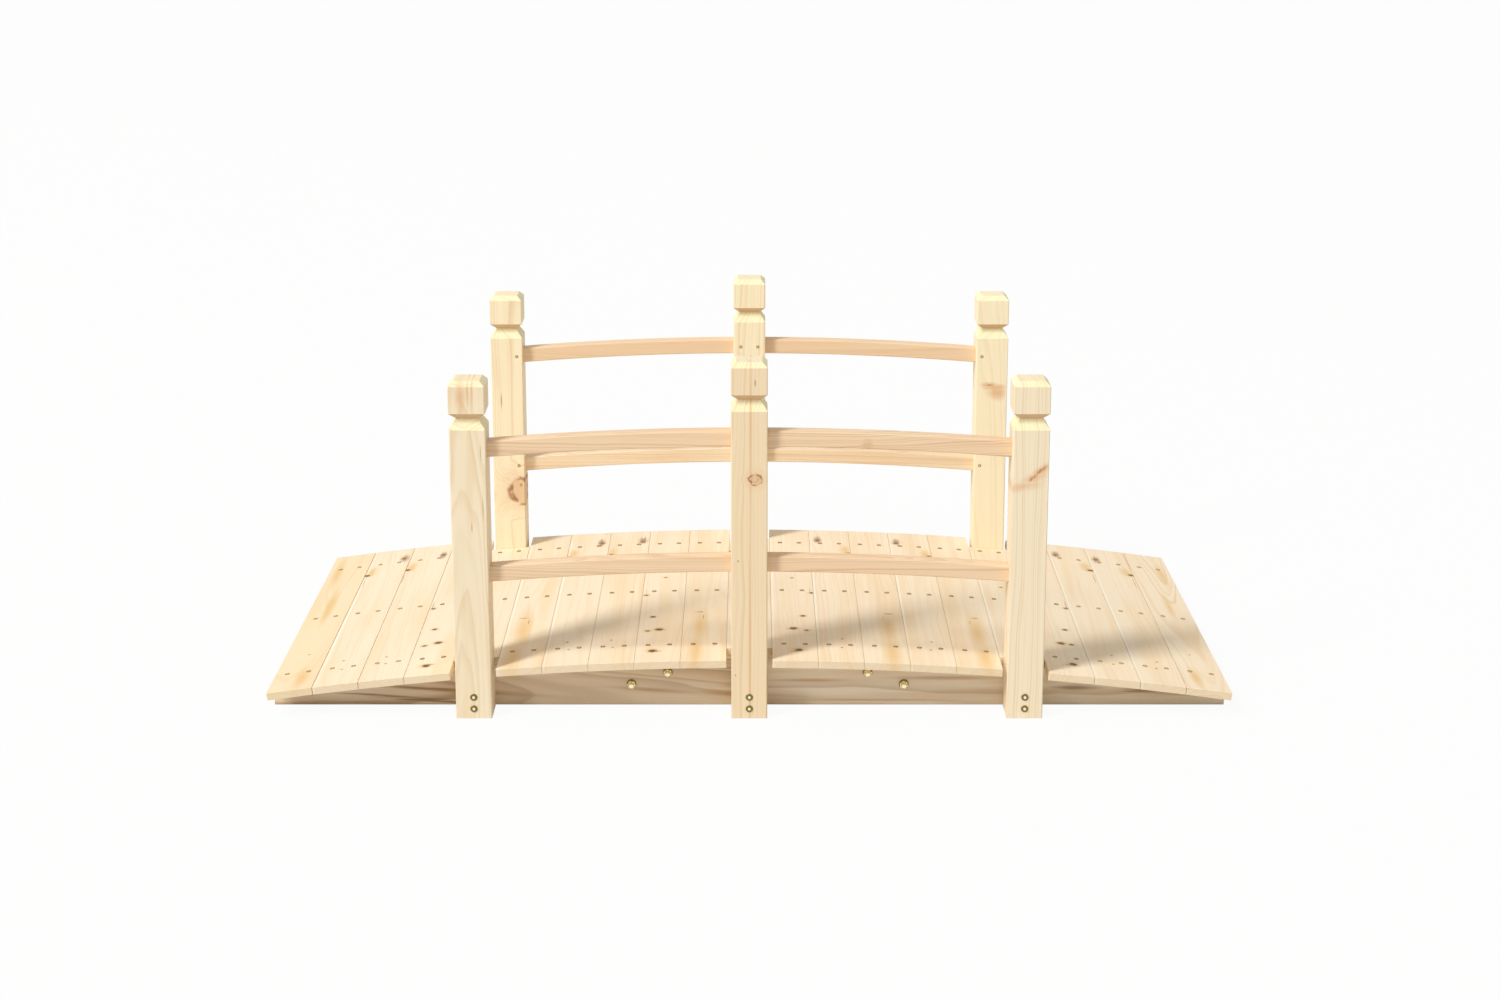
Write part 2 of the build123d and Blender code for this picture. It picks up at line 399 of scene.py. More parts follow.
# %% Fir material
def planed_fir(name, grain_order, ring_mm, sapwood, heartwood, layers):
    """Bare planed fir. A layer's colour covers those before it, by a share of one part of the figure."""
    material, tree, shader = new_material(name, {"IOR": 1.5, "Specular IOR Level": 0.25})
    texture = add(tree, "ShaderNodeTexCoord")
    figure = grain_figure(tree, texture, grain_order, ring_mm)
    parts = {part: figure.outputs[part] for part in FIGURE_PARTS}
    parts.update(cut_faces(tree, texture, grain_order))
    # Each piece has a shade of its own between sapwood and heartwood.
    shade = add(tree, ATTRIBUTE, {**OF_PIECE, "attribute_name": "shade"})
    between = {**RGBA, FIRST: linear(sapwood), SECOND: linear(heartwood)}
    colour = add(tree, MIX, between, {FACTOR: shade.outputs["Fac"]})
    for part, (layer_colour, share) in layers.items():
        amount = add(tree, MATH, {**TIMES, 1: share}, {0: parts[part]})
        cover = {**RGBA, SECOND: linear(layer_colour)}
        colour = add(tree, MIX, cover, {FACTOR: amount, FIRST: colour.outputs[MIXED]})
    tree.links.new(colour.outputs[MIXED], shader.inputs["Base Color"])
    planed_surface(tree, shader, figure)
    return material


# %% [markdown]
# ### The four kinds of stock
# Real rings in fir are 1 to 4 mm wide. At the distance of our camera those would blur to one flat tone, so
# they are drawn two or three times coarser.

# %% Stock
BARK_BROWN = "#5a3e18"
# A name, the run of the grain, the ring width in mm, sapwood, heartwood, and the layers over them.
RECIPES = {
    # Wide, pale, flat-sawn boards: cream with faint broad bands and a few golden-brown knots.
    "deck_board": ("planed_fir_deck_boards", "XZY", 6.5, "#fcedd4", "#f8deb2", {
        # The bevel layer is a painted highlight.
        "Warm": ("#f4d6a8", 0.5), "Bevel": ("#fff4dc", 0.6), "End": ("#e4d0b0", 0.6),
        "Late": ("#dfb67c", 0.22), "Fibre": ("#ecca9c", 0.17), "Flame": ("#e8c07c", 0.8),
        # The gleam layer is a painted highlight along a board's edge.
        "Gleam": ("#fff9e6", 0.75), "Halo": ("#dfb060", 0.55), "Rim": ("#987234", 0.75),
        "Core": (BARK_BROWN, 0.9), "Streak": ("#8c6034", 0.75),
    }),
    # Straight-grained posts: fine upright lines, pinkish knots in a ring of bark; their upward bevels are
    # painted creamy as a highlight and their undersides darker as painted shade.
    "post": ("planed_fir_posts", "XYZ", 5.5, "#f8e9cc", "#fff3d2", {
        "Warm": ("#efd2a6", 0.5), "Bevel": ("#fff8ca", 0.78), "Underside shade": ("#d2aa80", 0.85),
        "End": ("#faecc8", 0.8), "Late": ("#d8b07a", 0.36), "Flame": ("#e0a66c", 0.7),
        "Gleam": ("#fff6e0", 0.6), "Halo": ("#e2b27c", 0.3), "Rim": ("#9a5c34", 0.9),
        "Core": ("#e2b68c", 0.6), "Fibre": ("#e2c398", 0.22), "Streak": ("#b0743e", 0.7),
    }),
    # Close-grained rails, warmer than the rest: pinkish tan with fine lines along the length.
    "rail": ("planed_fir_rails", "ZYX", 4.2, "#fbebcc", "#f4d5b0", {
        "Warm": ("#eec79e", 0.5), "End": ("#d2b68c", 0.6), "Late": ("#c4946a", 0.5),
        "Fibre": ("#dab388", 0.3), "Flame": ("#cf9d6c", 0.7), "Halo": ("#cf9f6c", 0.5),
        "Rim": ("#b98a58", 0.8), "Core": ("#b08050", 0.95), "Streak": ("#9c7040", 0.75),
    }),
    # Coarse stock that was planed only once: wide brown bands streak its pale face.
    "stringer": ("rough_planed_fir_stringers", "ZYX", 9.0, "#fdf2e0", "#f4e4ca", {
        "Warm": ("#d6b68a", 0.5), "End": ("#d2b88e", 0.6), "Late": ("#a27c54", 0.5),
        "Fibre": ("#d0b28a", 0.4), "Flame": ("#b68c58", 0.7), "Halo": ("#b98e58", 0.5),
        "Rim": ("#7f5a34", 0.8), "Core": (BARK_BROWN, 0.95), "Streak": ("#8a6a44", 0.75),
    }),
}
stock = {kind: planed_fir(*recipe) for kind, recipe in RECIPES.items()}
# The splice boards come from the same stock as the stringers.
stock["splice"] = stock["stringer"]
print("fir stock:", [material.name for material in stock.values()])

# %% [markdown]
# ## Where each piece grew
# No two sticks of timber come from the same place in a trunk. Each solid gets its middle, a seed, a shade
# and a pith line, which lies under a flat-sawn board, beside a post, and well away from a rail. A seeded
# generator is quicker than our hand and gives the same bridge on every run. The rest starts plain.

# %% Growth of each piece
chance = random.Random(5)


def kind_of(name):
    """Which kind of stock a node was sawn from."""
    return next(kind for kind in stock if kind in name)


def middle_of(name):
    """The middle of a node's box."""
    low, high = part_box(name)
    return (low + high) / 2


# For each kind: how far the pith lies across and into the wood, in mm, and its lean in both.
PITH = {
    "deck_board": ((35, 95), (-75, -45), 0.015, 0.02),
    "post": ((25, 70), (-20, 20), 0.025, 0.03),
    "rail": ((25, 60), (-15, 15), 0.02, 0.03),
    "stringer": ((10, 45), (25, 45), 0.05, 0.04),
    "splice": ((40, 90), (-20, 20), 0.03, 0.03),
}
SEEDS = (0, 50)
SHADES = (0.1, 0.7)
ORDINARY = {"slant": 0.0, "boldness": 1.0, "warmth": 0.0}
NO_MARK = (0.0, 0.0, 0.0, 0.0)
mark_names = ["knot_" + letter for letter in KNOT_LETTERS]
mark_names += [f"{part.lower()}_{letter}" for part in PATCHES for letter in PATCH_LETTERS]
for name in sorted(nodes):
    piece = nodes[name]
    kind = kind_of(name)
    across_mm, inward_mm, lean_across, lean_inward = PITH[kind]
    piece["middle"] = list(middle_of(name))
    piece["seed"] = chance.uniform(*SEEDS)
    piece["shade"] = chance.uniform(*SHADES)
    piece["growth"] = [
        chance.choice((-1, 1)) * chance.uniform(*across_mm) * MM,
        chance.uniform(*inward_mm) * MM,
        chance.uniform(-1, 1) * lean_across,
        chance.uniform(-1, 1) * lean_inward,
    ]
    for way, value in ORDINARY.items():
        piece[way] = value
    for mark in mark_names:
        piece[mark] = list(NO_MARK)
    piece.data.materials.clear()
    piece.data.materials.append(stock[kind])
print("growth drawn for", len(nodes), "pieces")

# %% [markdown]
# ## What sets a piece apart
# Some pieces stand out from their stock: one is warmer, one shows bolder rings, one has its grain pushed
# aside, and the back posts and rails are painted paler than the front ones as painted light. New materials
# would repeat the same nodes, so we only change the properties that they read.

# %% Ways of their own
# The start of a name picks one piece or a whole set, and a later line overrides an earlier one.
WAYS = {
    "deck_board": {"shade": 0.25},
    "deck_board_01": {"shade": 0.75, "boldness": 1.3},
    # The last board is paler than the first.
    "deck_board_21": {"shade": 0.3, "boldness": 2.4, "warmth": -0.1},
    # Painted light: the back posts and rails are painted paler than the front ones, standing in for the
    # brighter light that falls on the back side.
    "front_post": {"shade": 0.1},
    "back_post": {"shade": 1.0},
    "front_lower_rail": {"shade": 0.8},
    "front_upper_rail": {"shade": 0.8},
    "back_lower_rail": {"shade": 0.2},
    "back_upper_rail": {"shade": 0.5, "boldness": 0.35, "warmth": 0.15},
    # The middle front post is the warmest and the right back post the palest.
    "front_post_middle": {"warmth": 0.25},
    "back_post_left": {"warmth": -0.12},
    "back_post_right": {"warmth": -0.25, "boldness": 0.6},
    # A branch once grew beside this post and left a slanting streak.
    "front_post_right": {"slant": 1.05, "warmth": -0.2},
    # The front stringer's grain runs out towards its left end, in dark slanting lines.
    "front_stringer_left": {"slant": -0.07, "boldness": 1.5, "warmth": 0.12},
}
for start, ways in WAYS.items():
    for name in nodes:
        if name.startswith(start):
            for way, value in ways.items():
                nodes[name][way] = value
# Where the pith lay across and into the wood, in mm, and how it leans across and inward.
OWN_PITH = {
    # Sawn flat and close to the pith, so the rings show as bold cathedrals.
    "deck_board_01": (-6, -34, 0.02, 0.06),
    "deck_board_21": (6, -34, 0.02, 0.06),
    # Sawn flat too, so it shows wide soft bands where other posts show straight lines.
    "front_post_left": (-8, 14, 0.02, 0.05),
    "front_post_right": (120, 0, 0.0, 0.01),
    "front_stringer_left": (-30, 34, -0.07, 0.05),
}
for name, (across_mm, inward_mm, lean_across, lean_inward) in OWN_PITH.items():
    nodes[name]["growth"] = [across_mm * MM, inward_mm * MM, lean_across, lean_inward]
print(len(WAYS), "ways and", len(OWN_PITH), "pith lines of their own")

# %% [markdown]
# ## Knots and flames on the boards
# The same few characters come back along the deck: clear boards with a knot or two near the far end,
# boards with a rash of dark knots near the front, boards with honey flames, and a golden board at each
# end. We could mark 21 boards one by one, but boards sawn from one log do look alike, so we describe each
# character once and deal it out, flipped left to right on the other half of the deck.

# %% Put marks on a piece
# How far the face that we look at lies from the middle of the piece, along the axis into the wood.
FACE_MM = {"deck_board": 6, "post": -28, "rail": -12.5, "stringer": -20}


def mark_piece(name, knots=(), flames=(), gleams=(), streaks=()):
    """Give a piece its marks, in mm from its middle.

    A knot is (across, along, radius, buried). A buried knot just misses the surface, by its share of the
    radius, and shows as a brown smudge. The others are (across, along, half width, half length).
    """
    piece = nodes[name]
    face = FACE_MM[kind_of(name)]
    for letter, (across, along, radius, buried) in zip(KNOT_LETTERS, knots):
        below = buried * radius / KNOT_DEPTH_SHARE
        depth = face - math.copysign(below, face)
        piece["knot_" + letter] = [size * MM for size in (across, depth, along, radius)]
    for mark, patches in (("flame_", flames), ("gleam_", gleams), ("streak_", streaks)):
        for letter, (across, along, half_width, half_length) in zip(PATCH_LETTERS, patches):
            upright = across - piece["slant"] * along
            piece[mark + letter] = [size * MM for size in (upright, along, half_width, half_length)]


# %% Board characters
BOARD_CHARACTERS = {
    "clear": {
        "knots": [(23, 276, 4.6, 0.5), (-31, 206, 6.0, 0.7), (-5, -230, 1.7, 0.2), (-1, -268, 1.7, 0.2)],
        "flames": [(-26, 224, 12, 30)],
        "streaks": [(-33, 160, 1.0, 48), (23, 277, 11, 30)],
    },
    "knotty": {
        "knots": [
            (0, 68, 3.4, 0.75), (-31, -16, 4.5, 0.8), (-16, -128, 4.2, 0.1),
            (-1, -190, 6.0, 0.0), (-20, -197, 4.6, 0.75), (-8, -289, 6.2, 0.0),
        ],
        "streaks": [(-31, -2, 1.0, 26), (-1, -290, 11, 2.4), (3, -190, 10, 2.0)],
    },
    "flamed": {
        "flames": [(-9, -172, 17, 105), (-12, -285, 17, 85)],
        "streaks": [(-12, -106, 12, 3.2), (-2, -128, 1.2, 18)],
    },
    "golden": {
        "knots": [(2, -180, 1.5, 0.2)], "flames": [(-4, 45, 9, 85), (12, -285, 14, 50), (-20, 230, 10, 90)]
    },
}
print("board characters:", ", ".join(BOARD_CHARACTERS))

# %% Deal the boards
# From the left end; /m after a character means flipped.
DEAL = (
    "golden clear clear knotty flamed flamed clear clear knotty flamed clear "
    "knotty/m clear/m flamed/m clear/m flamed/m knotty/m knotty/m clear/m clear/m golden/m"
).split()
# Painted highlight: a pale strip along the left edge of some boards, where light would catch the arris.
BOARDS_WITH_PAINTED_GLEAM = (2, 6, 7, 12, 13, 15, 17, 19, 20)
PAINTED_EDGE_GLEAM = (-33.3, 0, 2.2, 400)
STRAY_ACROSS_MM = (-2, 2)
STRAY_ALONG_MM = (-4, 4)


def dealt_marks(marks, side):
    """Marks flipped left to right where the side is -1, each a little out of place."""
    return [
        (side * across + chance.uniform(*STRAY_ACROSS_MM), along + chance.uniform(*STRAY_ALONG_MM), *sizes)
        for across, along, *sizes in marks
    ]


for number, card in enumerate(DEAL, start=1):
    character, _, flipped = card.partition("/")
    side = -1 if flipped else 1
    marks = {kind: dealt_marks(spots, side) for kind, spots in BOARD_CHARACTERS[character].items()}
    if number in BOARDS_WITH_PAINTED_GLEAM:
        marks["gleams"] = [PAINTED_EDGE_GLEAM]
    mark_piece(f"deck_board_{number:02d}", **marks)
print("marked", len(DEAL), "boards")

# %% [markdown]
# ## Marks on the posts, rails and stringers
# A few posts carry a knot or a dark streak that catches the eye, and the stringers some brown flames. Chance
# would put them anywhere, so those we place one by one, on the face where each shows.

# %% Post, rail and stringer marks
MARKS = {
    "front_post_middle": {
        "knots": [(10, 102, 10, 0.0), (8, 103, 5.5, 0.0)],
        "flames": [(2, 190, 2.6, 220), (1, -150, 2.2, 240)],
        "streaks": [(9, 254, 1.6, 8), (-17, -28, 2.4, 3.2), (-21, -214, 2.0, 2.6)],
    },
    "front_post_right": {
        "flames": [(15, 131, 13, 13), (2, 119, 20, 15), (-11, 106, 28, 13)],
        "streaks": [(15, 131, 5.6, 11), (4, 120, 5.0, 10)],
    },
    "front_post_left": {
        "flames": [(-9, 248, 10, 26), (2, 252, 2.2, 30), (9, 254, 2.2, 30)],
        "streaks": [(4, 40, 1.4, 14), (20, 160, 1.3, 26), (22, 70, 1.2, 30)],
    },
    "back_post_left": {
        "knots": [(27, -85, 27, 0.05)], "streaks": [(-11, 81, 1.6, 20), (21, -74, 3.6, 5.0)]
    },
    # The foot of a branch that was sawn through lengthwise shows as an orange smear.
    "back_post_right": {
        "flames": [(-6, 110, 18, 6), (5, 106, 24, 7), (9, 97, 18, 14)], "streaks": [(-2, 110, 8, 1.8)]
    },
    "front_upper_rail_right": {"knots": [(0, -34, 6, 1.3)]},
    "front_stringer_left": {
        "flames": [(-22, 322, 6, 48), (-16, 205, 5, 90), (-20, -60, 7, 190)],
        "streaks": [(-14, -150, 4.0, 120), (-27, -200, 3.4, 150), (-35, -130, 3.0, 160)],
    },
    "front_stringer_right": {
        "flames": [(0, -290, 4, 80), (-33, -220, 3, 200), (4, -80, 5, 120)],
        "streaks": [(-12, 130, 7, 60), (-17, 235, 5, 60)],
    },
}
for name, marks in MARKS.items():
    mark_piece(name, **marks)
print("marked", len(MARKS), "posts, rails and stringers")

# %% [markdown]
# ## Eased edges
# A carpenter takes the arris off every planed edge, because a razor-sharp one splinters. Cut into the
# solids it would add thousands of facets, so a small bevel modifier catches the thread of light instead,
# on facets that are first welded to share their edges. It changes the size of no piece.

# %% Eased arrises
WELD_MM = 0.01
EASE_MM = 0.5
EASE_FROM_DEGREES = 40
for piece in nodes.values():
    weld = piece.modifiers.new("join_facets", "WELD")
    weld.merge_threshold = WELD_MM * MM
    ease = piece.modifiers.new("eased_arris", "BEVEL")
    ease.width = EASE_MM * MM
    ease.segments = 2
    ease.limit_method = "ANGLE"
    ease.angle_limit = math.radians(EASE_FROM_DEGREES)
print("eased arrises by", EASE_MM, "mm")

# %% [markdown]
# ## Zinc-plated fasteners
# The steel screws and bolts are zinc-plated and yellow-passivated: a straw-coloured chromate film over
# bright metal. A yellow paint would look flat, because a metal only shows what it mirrors, so the shader
# is fully metallic and the film tints its reflections. It dulls to olive where it is thick. On the deck
# and rail screws the film is painted dark brown, a painted shade for their countersunk recesses.

# %% Plated steel
BLOTCH_MM = 4
SMOOTHER = -0.08
SCUFFED = 0.12


def plated_steel(name, film, worn, roughness):
    """Yellow-passivated zinc on steel: a metal whose film varies over a few millimetres."""
    # The film tints even a glancing reflection.
    material, tree, shader = new_material(name, {"Metallic": 1.0, "Specular Tint": linear(worn)})
    texture = add(tree, "ShaderNodeTexCoord")
    blotches = add(
        tree, NOISE, {"Scale": 1 / (BLOTCH_MM * MM), "Detail": 3.0}, {"Vector": texture.outputs["Object"]}
    )
    colour = add(tree, MIX, {**RGBA, FIRST: linear(film), SECOND: linear(worn)}, {FACTOR: blotches})
    tree.links.new(colour.outputs[MIXED], shader.inputs["Base Color"])
    spread = {"To Min": roughness + SMOOTHER, "To Max": roughness + SCUFFED}
    scuffs = add(tree, MAP_RANGE, spread, {"Value": blotches})
    tree.links.new(scuffs.outputs[0], shader.inputs["Roughness"])
    return material


# %% Four finishes
# The colours of the film and of its worn places, and its roughness.
FILMS = {
    # A thin film stays bright: small hard glints of straw and white.
    "bright": ("#f3e3a8", "#fffbe6", 0.1),
    # A thick film is dark and oily, and makes a ring round each bright head.
    "olive": ("#766838", "#918252", 0.36),
    # Painted shade: this film is painted dark brown and hardly shines, standing in for the shade in the
    # countersunk recesses, so these screws read as dark dots on the pale deck.
    "painted_shade_brown": ("#8c6a38", "#a88a56", 0.5),
    # A dull film is close to the colour of the wood, so these screws show less.
    "dull": ("#ac8e58", "#c4a874", 0.4),
}
zinc = {name: plated_steel("yellow_zinc_plated_steel_" + name, *film) for name, film in FILMS.items()}
print("fastener finishes:", ", ".join(zinc))

# %% [markdown]
# ### Turned shapes
# Washers, bolt heads and nuts are turned or forged round an axis. Plain cylinders would lack their
# chamfers and crowns, so one function spins a profile for all of them. With six segments it gives a
# hexagon.


# %% Spin a profile
def spun(bm, profile_mm, segments):
    """Spin a profile of (radius, height) points round Z into a closed surface."""
    rings = []
    for ring_radius, height in profile_mm:
        count = segments if ring_radius > 0 else 1
        ring = []
        for step in range(count):
            angle = 2 * math.pi * step / segments
            x = ring_radius * MM * math.cos(angle)
            y = ring_radius * MM * math.sin(angle)
            ring.append(bm.verts.new((x, y, height * MM)))
        rings.append(ring)
    for lower, upper in zip(rings, rings[1:]):
        for step in range(segments):
            after = step + 1
            corners = [
                lower[step % len(lower)],
                lower[after % len(lower)],
                upper[after % len(upper)],
                upper[step % len(upper)],
            ]
            bm.faces.new(list(dict.fromkeys(corners)))
    return rings


# %% Finish a mesh
SHARP_FROM_DEGREES = 32


def finished_mesh(name, bm):
    """Close up a bmesh: faces point outward, and only real corners stay sharp."""
    bmesh.ops.recalc_face_normals(bm, faces=bm.faces)
    mesh = bpy.data.meshes.new(name)
    bm.to_mesh(mesh)
    bm.free()
    mesh.polygons.foreach_set("use_smooth", [True] * len(mesh.polygons))
    mesh.set_sharp_from_angle(angle=math.radians(SHARP_FROM_DEGREES))
    return mesh


templates = {}


def spun_part(name, segments, profile_mm):
    """Make the template for a single turned part."""
    bm = bmesh.new()
    spun(bm, profile_mm, segments)
    templates[name] = finished_mesh(name, bm)


# %% Set out copies
def new_object(name, data):
    """Put a mesh, a lamp or a camera into the scene."""
    thing = bpy.data.objects.new(name, data)
    bpy.context.scene.collection.objects.link(thing)
    return thing


def set_out(name, template, places, finish):
    """Join a copy of a template at every place into one piece that rides with the bridge."""
    joined = bmesh.new()
    for spot in places:
        copy = templates[template].copy()
        copy.transform(spot)
        joined.from_mesh(copy)
        bpy.data.meshes.remove(copy)
    mesh = finished_mesh(name, joined)
    mesh.materials.append(zinc[finish])
    piece = new_object(name, mesh)
    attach(piece, "root")
    print(name, "has", len(places), "fasteners,", len(mesh.polygons), "faces")


def facing(point, outward, turn=0.0):
    """A place at a point whose Z looks outward, turned about that direction."""
    aim = Vector(outward).to_track_quat("Z", "Y").to_matrix().to_4x4()
    return Matrix.Translation(point) @ aim @ Matrix.Rotation(turn, 4, "Z")


def face_y(name, toward):
    """Where a node's front face (toward -1) or back face (toward 1) lies along Y."""
    low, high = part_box(name)
    return low.y if toward < 0 else high.y


# %% [markdown]
# ## Deck screws
# Every board is held by two countersunk screws over each of the three stringers. The head is a shallow
# cone with a cross recess for the driver. A bump would only fake the recess from afar, so a cross-shaped
# loop is filled against the rim of the head and pushed down.

# %% Screw head
SCREW_PROUD_MM = 0.25
SCREW_PROFILE_MM = ((0, -2.8), (1.9, -2.8), (3.9, -0.2), (4.1, 0.05), (3.8, SCREW_PROUD_MM))
SCREW_SEGMENTS = 20
RECESS_ARM_MM = 2.5
RECESS_HALF_WIDTH_MM = 0.65
RECESS_DEPTH_MM = 1.4


def make_screw_head():
    """A countersunk head with a cross recess, its seat at height zero."""
    bm = bmesh.new()
    rim = spun(bm, SCREW_PROFILE_MM, SCREW_SEGMENTS)[-1]
    arm = RECESS_ARM_MM
    half = RECESS_HALF_WIDTH_MM
    cross = []
    for quarter in range(4):
        spin = Matrix.Rotation(quarter * math.pi / 2, 3, "Z")
        for x, y in ((half, half), (half, arm), (-half, arm)):
            cross.append(bm.verts.new(spin @ Vector((x, y, SCREW_PROUD_MM)) * MM))
    depth = Vector((0, 0, RECESS_DEPTH_MM * MM))
    floor_loop = [bm.verts.new(corner.co - depth) for corner in cross]
    rim_edges = [bm.edges.get(ends) for ends in zip(rim, rim[1:] + rim[:1])]
    cross_edges = [bm.edges.new(ends) for ends in zip(cross, cross[1:] + cross[:1])]
    bmesh.ops.triangle_fill(bm, use_beauty=True, edges=rim_edges + cross_edges, normal=(0, 0, 1))
    for step in range(len(cross)):
        after = (step + 1) % len(cross)
        bm.faces.new((cross[step], cross[after], floor_loop[after], floor_loop[step]))
    bm.faces.new(floor_loop)
    templates["screw_head"] = finished_mesh("screw_head", bm)


make_screw_head()
print("screw head:", len(templates["screw_head"].polygons), "faces")

# %% Places on the tilted boards
UPWARD = 0.9


def walking_face(name):
    """A point on the top of a board and the way it faces, from its largest upward facet."""
    upward = [facet for facet in nodes[name].data.polygons if facet.normal.z > UPWARD]
    largest = max(upward, key=lambda facet: facet.area)
    return largest.center.copy(), largest.normal.copy()


SCREW_SPREAD_MM = 17
# The screws in the last boards at each end get the paler dull film, so they show less.
RAMP_BOARDS = 3
boards = sorted(name for name in nodes if name.startswith("deck_board"))
for row in ("front", "middle", "back"):
    row_y = middle_of(f"{row}_stringer_left").y
    spots = {"deck": [], "ramp": []}
    for number, board in enumerate(boards):
        on_ramp = number < RAMP_BOARDS or number >= len(boards) - RAMP_BOARDS
        point, up = walking_face(board)
        for side in (-1, 1):
            x = middle_of(board).x + side * SCREW_SPREAD_MM * MM
            z = point.z - (up.x * (x - point.x)) / up.z
            spot = facing((x, row_y, z), up, chance.uniform(0, math.pi))
            spots["ramp" if on_ramp else "deck"].append(spot)
    set_out(f"deck_screws_{row}", "screw_head", spots["deck"], "painted_shade_brown")
    set_out(f"ramp_screws_{row}", "screw_head", spots["ramp"], "dull")

# %% [markdown]
# ## Rail screws
# Each rail end is housed in its post and pinned by one screw from the deck side, where it doesn't show
# from outside. It is the same screw made smaller, and its place follows from the two solids.

# %% Rail screw places
RAIL_SCREW_SHARE = 0.68
RAIL_SCREW_LIFT_MM = 3
MIDDLE_POST_REACH_MM = 15
END_POST_REACH_MM = 18
for side, inward in (("front", 1), ("back", -1)):
    spots = []
    for level in ("lower", "upper"):
        for bay, ends in (("left", ("left", "middle")), ("right", ("middle", "right"))):
            rail = nodes[f"{side}_{level}_rail_{bay}"]
            rail_low, rail_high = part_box(rail.name)
            tips = ((rail_low.x, 1), (rail_high.x, -1))
            for end, (tip, toward_bay) in zip(ends, tips):
                post = f"{side}_post_{end}"
                reach = MIDDLE_POST_REACH_MM if end == "middle" else END_POST_REACH_MM
                x = middle_of(post).x + toward_bay * reach * MM
                heights = [corner.co.z for corner in rail.data.vertices if abs(corner.co.x - tip) < MM]
                z = (min(heights) + max(heights)) / 2 + RAIL_SCREW_LIFT_MM * MM
                spot = facing((x, face_y(post, inward), z), (0, inward, 0), chance.uniform(0, math.pi))
                spots.append(spot @ Matrix.Scale(RAIL_SCREW_SHARE, 4))
    set_out(f"rail_screws_{side}", "screw_head", spots, "painted_shade_brown")

# %% [markdown]
# ## Post bolts
# Two bolts, one above the other, hold the foot of each post to the stringer: a washer with an olive film
# and a bright domed head outside, a washer and a hexagon nut inside. A bolt could be one mesh, but
# stacked parts let each keep its own finish.

# %% Bolt parts
# How many sides each part has, and its profile of (radius, height) in mm above its seat.
BOLT_PARTS = {
    "bolt_washer": (32, [(0, -1), (5.6, -1), (5.6, 0.7), (5.2, 1.0), (3.0, 1.0), (0, 1.0)]),
    "bolt_dome": (28, [(0, 0.5), (2.5, 0.5), (2.5, 1.5), (2.2, 2.0), (1.4, 2.4), (0.7, 2.6), (0, 2.65)]),
    "wide_washer": (32, [(0, -0.5), (7.6, -0.5), (7.6, 0.8), (7.2, 1.1), (4, 1.1), (0, 1.1)]),
    "hexagon": (6, [(0, 0.8), (5.6, 0.8), (6.3, 1.4), (6.3, 5.2), (5.6, 5.9), (3.2, 5.9), (0, 5.9)]),
    "bolt_end": (20, [(0, 4), (2.9, 4), (2.9, 7.6), (2.4, 8.2), (0, 8.2)]),
}
for name, shape in BOLT_PARTS.items():
    spun_part(name, *shape)
print("templates:", ", ".join(templates))

# %% Post bolt places
BOLT_HEIGHTS_MM = (16, 35)
for side, outward in (("front", -1), ("back", 1)):
    outside = []
    inside = []
    for end in ("left", "middle", "right"):
        post = f"{side}_post_{end}"
        # Behind the middle post the bolt goes through the splice board too.
        innermost = f"{side}_splice_board" if end == "middle" else f"{side}_stringer_left"
        x = middle_of(post).x
        for height in BOLT_HEIGHTS_MM:
            outer = (x, face_y(post, outward), height * MM)
            inner = (x, face_y(innermost, -outward), height * MM)
            outside.append(facing(outer, (0, outward, 0)))
            inside.append(facing(inner, (0, -outward, 0), chance.uniform(0, math.pi)))
    set_out(f"post_bolt_washers_{side}", "bolt_washer", outside, "olive")
    set_out(f"post_bolt_heads_{side}", "bolt_dome", outside, "bright")
    set_out(f"post_bolt_inner_washers_{side}", "wide_washer", inside, "bright")
    set_out(f"post_bolt_nuts_{side}", "hexagon", inside, "olive")
    set_out(f"post_bolt_ends_{side}", "bolt_end", inside, "bright")

# %% [markdown]
# ## Splice bolts
# Each stringer is two lengths of timber with a splice board over the joint, and four bolts clamp them.
# Outside every bolt ends in a cap nut, a hexagon with a closed dome, so that no thread can scratch
# anyone. On the splice board only low round heads show. All are spun, the dome from an arc.

# %% Cap nut parts
DOME_RADIUS_MM = 5.2
DOME_SEAT_MM = 5.8
DOME_FOOT_MM = 7.0
dome_profile = [(0, DOME_SEAT_MM), (DOME_RADIUS_MM, DOME_SEAT_MM)]
for degrees in range(0, 90, 15):
    angle = math.radians(degrees)
    dome_profile.append((DOME_RADIUS_MM * math.cos(angle), DOME_FOOT_MM + DOME_RADIUS_MM * math.sin(angle)))
dome_profile.append((0, DOME_FOOT_MM + DOME_RADIUS_MM))
CAP_NUT_PARTS = {
    "cap_hexagon": (6, [(0, 0.8), (6.0, 0.8), (6.8, 1.5), (6.8, 5.6), (5.9, 6.3), (0, 6.3)]),
    "cap_dome": (28, dome_profile),
    "round_head": (32, [(0, -1), (7.5, -1), (7.5, 0.6), (6.3, 2.0), (4.0, 3.1), (1.5, 3.6), (0, 3.65)]),
}
for name, shape in CAP_NUT_PARTS.items():
    spun_part(name, *shape)
print("cap nut stands", DOME_FOOT_MM + DOME_RADIUS_MM, "mm proud")

